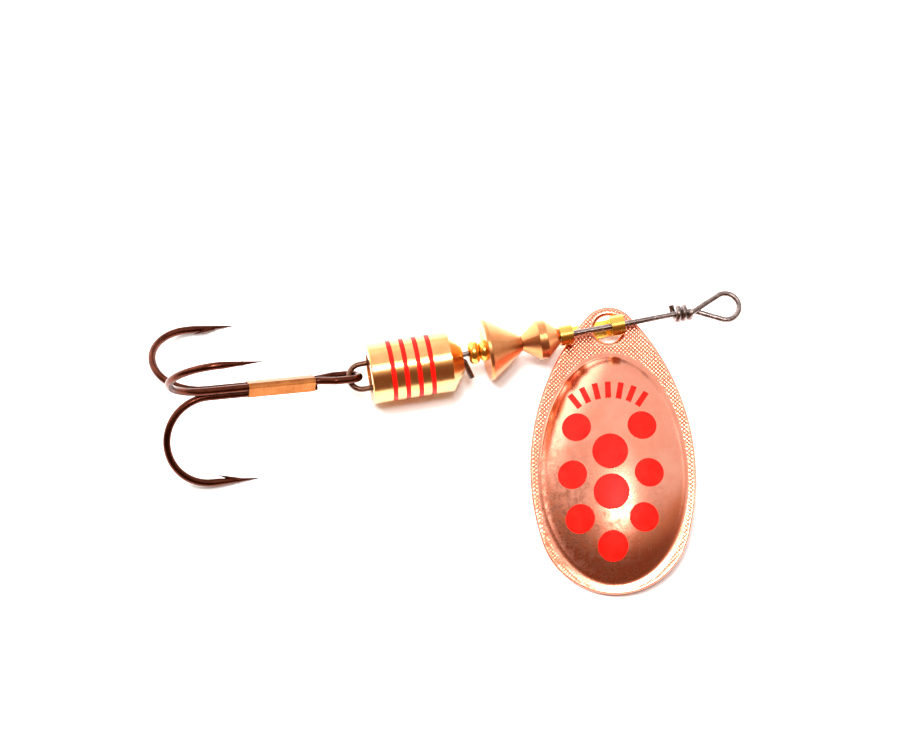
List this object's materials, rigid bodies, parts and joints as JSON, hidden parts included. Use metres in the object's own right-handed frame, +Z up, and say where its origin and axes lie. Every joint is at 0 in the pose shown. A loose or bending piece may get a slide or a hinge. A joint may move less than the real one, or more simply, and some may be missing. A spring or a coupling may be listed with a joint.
{
  "type": "inline spinner",
  "caption": "Inline spinner fishing lure: a copper blade on a clevis turns round a wire shaft that carries beads, a grooved brass weight, a line eye and a treble hook.",
  "frame": {"origin": "middle of the footprint, on the surface that the lure lies on", "axes": "+X along the shaft from the hook to the line eye, +Z up, the blade towards -Y"},
  "size_m": [0.0622, 0.0368, 0.0155],
  "materials": {
    "stainless_wire": "drawn stainless spring wire, browned towards the rear loop",
    "weight_brass": "turned brass, lightly polished",
    "bead_brass": "bright yellow brass",
    "bell_brass": "turned coppery brass",
    "blade_copper": "polished copper, knurled flange",
    "red_enamel": "glossy red enamel",
    "hook_bronze": "bronzed hook wire",
    "braze_gold": "gold-coloured braze"
  },
  "bodies": {
    "shaft": {"wire_shaft": "stainless_wire"},
    "weight": {"weight_body": "weight_brass", "ring_enamel": "red_enamel"},
    "rear_bead": {"rear_bead": "bead_brass"},
    "front_bead": {"front_bead": "bead_brass"},
    "bell": {"bell_cone": "bell_brass"},
    "bicone": {"bicone_bead": "bell_brass"},
    "clevis": {"clevis": "bead_brass"},
    "blade": {"blade": "blade_copper", "blade_dots": "red_enamel", "blade_rays": "red_enamel"},
    "treble": {"hook_pair": "hook_bronze", "hook_single": "hook_bronze", "hook_braze": "braze_gold"}
  },
  "joints": [
    {"name": "weight_spin", "type": "hinge", "parent": "shaft", "child": "weight", "pos_m": [-0.00382, 0.00892, 0.0032], "axis": [0.9995, -0.0314, 0], "continuous": true},
    {"name": "rear_bead_spin", "type": "hinge", "parent": "shaft", "child": "rear_bead", "pos_m": [0.0018, 0.00923, 0.0032], "axis": [1, 0, 0], "continuous": true},
    {"name": "front_bead_spin", "type": "hinge", "parent": "shaft", "child": "front_bead", "pos_m": [0.00296, 0.00923, 0.0032], "axis": [1, 0, 0], "continuous": true},
    {"name": "bell_spin", "type": "hinge", "parent": "shaft", "child": "bell", "pos_m": [0.00408, 0.00923, 0.0032], "axis": [1, 0, 0], "continuous": true},
    {"name": "runner_slide", "type": "slide", "parent": "shaft", "child": "bicone", "axis": [1, 0, 0], "range_m": [0, 0.005]},
    {"name": "clevis_spin", "type": "hinge", "parent": "bicone", "child": "clevis", "pos_m": [0.01158, 0.00923, 0.0032], "axis": [1, 0, 0], "continuous": true},
    {"name": "blade_swing", "type": "hinge", "parent": "clevis", "child": "blade", "pos_m": [0.01698, 0.00941, 0.00162], "axis": [-0.0915, -0.0148, 0.9957], "range_deg": [0, 25]},
    {"name": "treble_swing", "type": "hinge", "parent": "shaft", "child": "treble", "pos_m": [-0.01087, 0.00892, 0.0032], "axis": [0, 1, 0], "range_deg": [-20, 75]}
  ]
}
